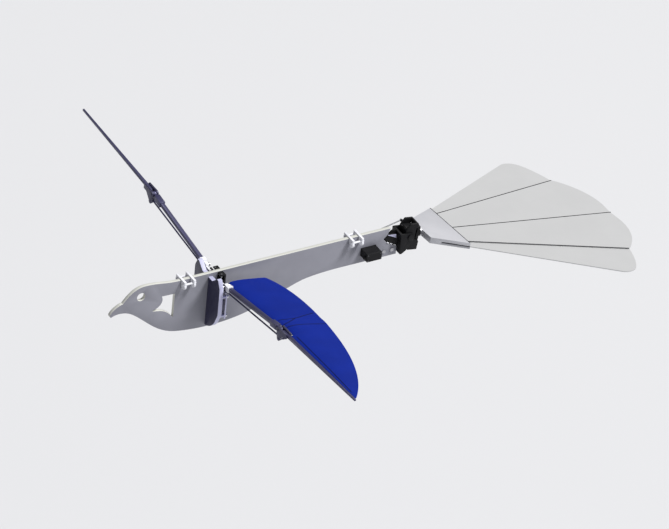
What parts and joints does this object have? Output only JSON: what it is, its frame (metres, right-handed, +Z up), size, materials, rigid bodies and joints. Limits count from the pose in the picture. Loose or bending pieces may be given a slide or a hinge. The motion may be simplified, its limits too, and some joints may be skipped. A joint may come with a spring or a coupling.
{
  "type": "flapping wing model bird",
  "caption": "Model bird with a flat profile keel, crank-driven jointed wings on a tie-rod linkage, and a fan tail on a pitch and roll head.",
  "frame": {"origin": "on the keel's mid-plane and straight top edge, 5 mm ahead of the wing frame's front face, at the carry point", "axes": "-X is the bird's forward direction, +X aft along the keel's straight top edge, -Y the bird's left, +Z up"},
  "size_m": [0.7541, 0.7298, 0.1104],
  "materials": {
    "keel_board": "matte foam-cored board, pale at its cut edges",
    "frame_sheet": "dark laminated sheet with pale lavender cut edges",
    "lavender_alloy": "satin anodised",
    "spar_alloy": "satin anodised",
    "dark_alloy": "dark satin anodised",
    "white_nylon": "printed nylon",
    "black_nylon": "moulded, fine texture",
    "gear_acetal": "smooth moulded acetal",
    "brass": "machined",
    "steel": "ground",
    "motor_steel": "drawn can",
    "battery_wrap": "shrink film",
    "wing_film": "ripstop fabric",
    "tail_foam": "foam sheet",
    "clamp_print": "printed, fine layers"
  },
  "bodies": {
    "keel": {"keel_plate": "keel_board", "front_saddle_fore_arm": "white_nylon", "front_saddle_aft_arm": "white_nylon", "front_saddle_rods": "white_nylon", "rear_saddle_fore_arm": "white_nylon", "rear_saddle_aft_arm": "white_nylon", "rear_saddle_rods": "white_nylon", "left_bulkhead": "frame_sheet", "right_bulkhead": "frame_sheet", "left_rear_plate": "lavender_alloy", "right_rear_plate": "lavender_alloy", "frame_spacers": "lavender_alloy", "frame_bolts": "steel", "wing_pivot_pins": "steel", "crank_carrier": "lavender_alloy", "crank_bushing": "brass", "left_guide_bracket": "black_nylon", "right_guide_bracket": "black_nylon", "guide_rods": "steel", "motor_mount": "black_nylon", "motor_can": "motor_steel", "battery": "battery_wrap", "battery_tray": "black_nylon", "speed_controller": "black_nylon", "receiver": "black_nylon", "pitch_servo": "black_nylon", "tail_fork": "black_nylon", "fork_bolts": "motor_steel"},
    "crosshead": {"crosshead": "black_nylon"},
    "crank": {"crank_gear": "gear_acetal", "crank_shaft": "steel", "crank_pin": "steel"},
    "idler": {"idler_shaft": "steel", "idler_pinion": "brass", "idler_wheel": "gear_acetal"},
    "motor_rotor": {"motor_shaft": "steel", "motor_pinion": "brass"},
    "left_inner_wing": {"left_root_fitting": "white_nylon", "left_inner_spar": "spar_alloy", "left_inner_skin": "wing_film", "left_gusset_skin": "wing_film"},
    "left_tie": {"left_tie_rod": "spar_alloy"},
    "left_outer_wing": {"left_elbow_lever": "dark_alloy", "left_outer_spar": "spar_alloy", "left_outer_skin": "wing_film"},
    "right_inner_wing": {"right_root_fitting": "white_nylon", "right_inner_spar": "spar_alloy"},
    "right_tie": {"right_tie_rod": "spar_alloy"},
    "right_outer_wing": {"right_elbow_lever": "dark_alloy", "right_outer_spar": "spar_alloy"},
    "servo_horn": {"pitch_horn": "white_nylon"},
    "pushrod": {"pitch_pushrod": "steel"},
    "tail_head": {"pitch_cradle": "black_nylon", "roll_servo": "black_nylon"},
    "tail": {"roll_shaft": "steel", "tail_clamp": "clamp_print", "left_outer_feather": "tail_foam", "left_inner_feather": "tail_foam", "right_inner_feather": "tail_foam", "right_outer_feather": "tail_foam"}
  },
  "joints": [
    {"name": "left_flap", "type": "hinge", "parent": "keel", "child": "left_inner_wing", "pos_m": [0.018, -0.027, -0.008], "axis": [-1, 0, 0], "range_deg": [-24, 24]},
    {"name": "left_tie_swing", "type": "hinge", "parent": "keel", "child": "left_tie", "pos_m": [0.018, -0.027, -0.0152], "axis": [-1, 0, 0], "range_deg": [-24, 24]},
    {"name": "left_elbow", "type": "hinge", "parent": "left_inner_wing", "child": "left_outer_wing", "pos_m": [0.018, -0.17022, 0.01468], "axis": [-1, 0, 0], "range_deg": [-14.4, 14.4]},
    {"name": "right_flap", "type": "hinge", "parent": "keel", "child": "right_inner_wing", "pos_m": [0.018, 0.027, -0.008], "axis": [1, 0, 0], "range_deg": [-24, 24]},
    {"name": "right_tie_swing", "type": "hinge", "parent": "keel", "child": "right_tie", "pos_m": [0.018, 0.027, -0.0152], "axis": [1, 0, 0], "range_deg": [-24, 24]},
    {"name": "right_elbow", "type": "hinge", "parent": "right_inner_wing", "child": "right_outer_wing", "pos_m": [0.018, 0.17022, 0.01468], "axis": [1, 0, 0], "range_deg": [-14.4, 14.4]},
    {"name": "crosshead_slide", "type": "slide", "parent": "keel", "child": "crosshead", "axis": [0, 0, 1], "range_m": [-0.00495, 0.00495]},
    {"name": "crank_turn", "type": "hinge", "parent": "keel", "child": "crank", "pos_m": [0.0172, 0, -0.043], "axis": [1, 0, 0], "range_deg": [-90, 90]},
    {"name": "idler_turn", "type": "hinge", "parent": "keel", "child": "idler", "pos_m": [0.0172, 0.01609, -0.0565], "axis": [1, 0, 0], "range_deg": [-540, 540]},
    {"name": "motor_turn", "type": "hinge", "parent": "keel", "child": "motor_rotor", "pos_m": [0.0269, 0.01348, -0.04173], "axis": [1, 0, 0], "range_deg": [-2160, 2160]},
    {"name": "tail_pitch", "type": "hinge", "parent": "keel", "child": "tail_head", "pos_m": [0.302, 0, -0.015], "axis": [0, 1, 0], "range_deg": [-15, 15]},
    {"name": "servo_horn_turn", "type": "hinge", "parent": "keel", "child": "servo_horn", "pos_m": [0.2499, 0.0135, -0.0263], "axis": [0, 1, 0], "range_deg": [-15, 15]},
    {"name": "pushrod_swing", "type": "hinge", "parent": "servo_horn", "child": "pushrod", "pos_m": [0.2499, 0.0157, -0.0163], "axis": [0, 1, 0], "range_deg": [-15, 15]},
    {"name": "tail_roll", "type": "hinge", "parent": "tail_head", "child": "tail", "pos_m": [0.302, 0, -0.015], "axis": [0.9871, 0, -0.1599], "range_deg": [-30, 30]}
  ],
  "couplings": [
    {"joint": "left_tie_swing", "follows": "left_flap", "ratio": 0.992},
    {"joint": "left_elbow", "follows": "left_flap", "ratio": -0.6},
    {"joint": "right_tie_swing", "follows": "left_flap", "ratio": 0.992},
    {"joint": "right_elbow", "follows": "left_flap", "ratio": -0.6},
    {"joint": "right_flap", "follows": "left_flap", "ratio": 1},
    {"joint": "crosshead_slide", "follows": "left_flap", "m_per_rad": -0.0118},
    {"joint": "crank_turn", "follows": "left_flap", "ratio": -3.75},
    {"joint": "idler_turn", "follows": "left_flap", "ratio": 22.5},
    {"joint": "motor_turn", "follows": "left_flap", "ratio": -90},
    {"joint": "servo_horn_turn", "follows": "tail_pitch", "ratio": 1},
    {"joint": "pushrod_swing", "follows": "tail_pitch", "ratio": -1}
  ]
}
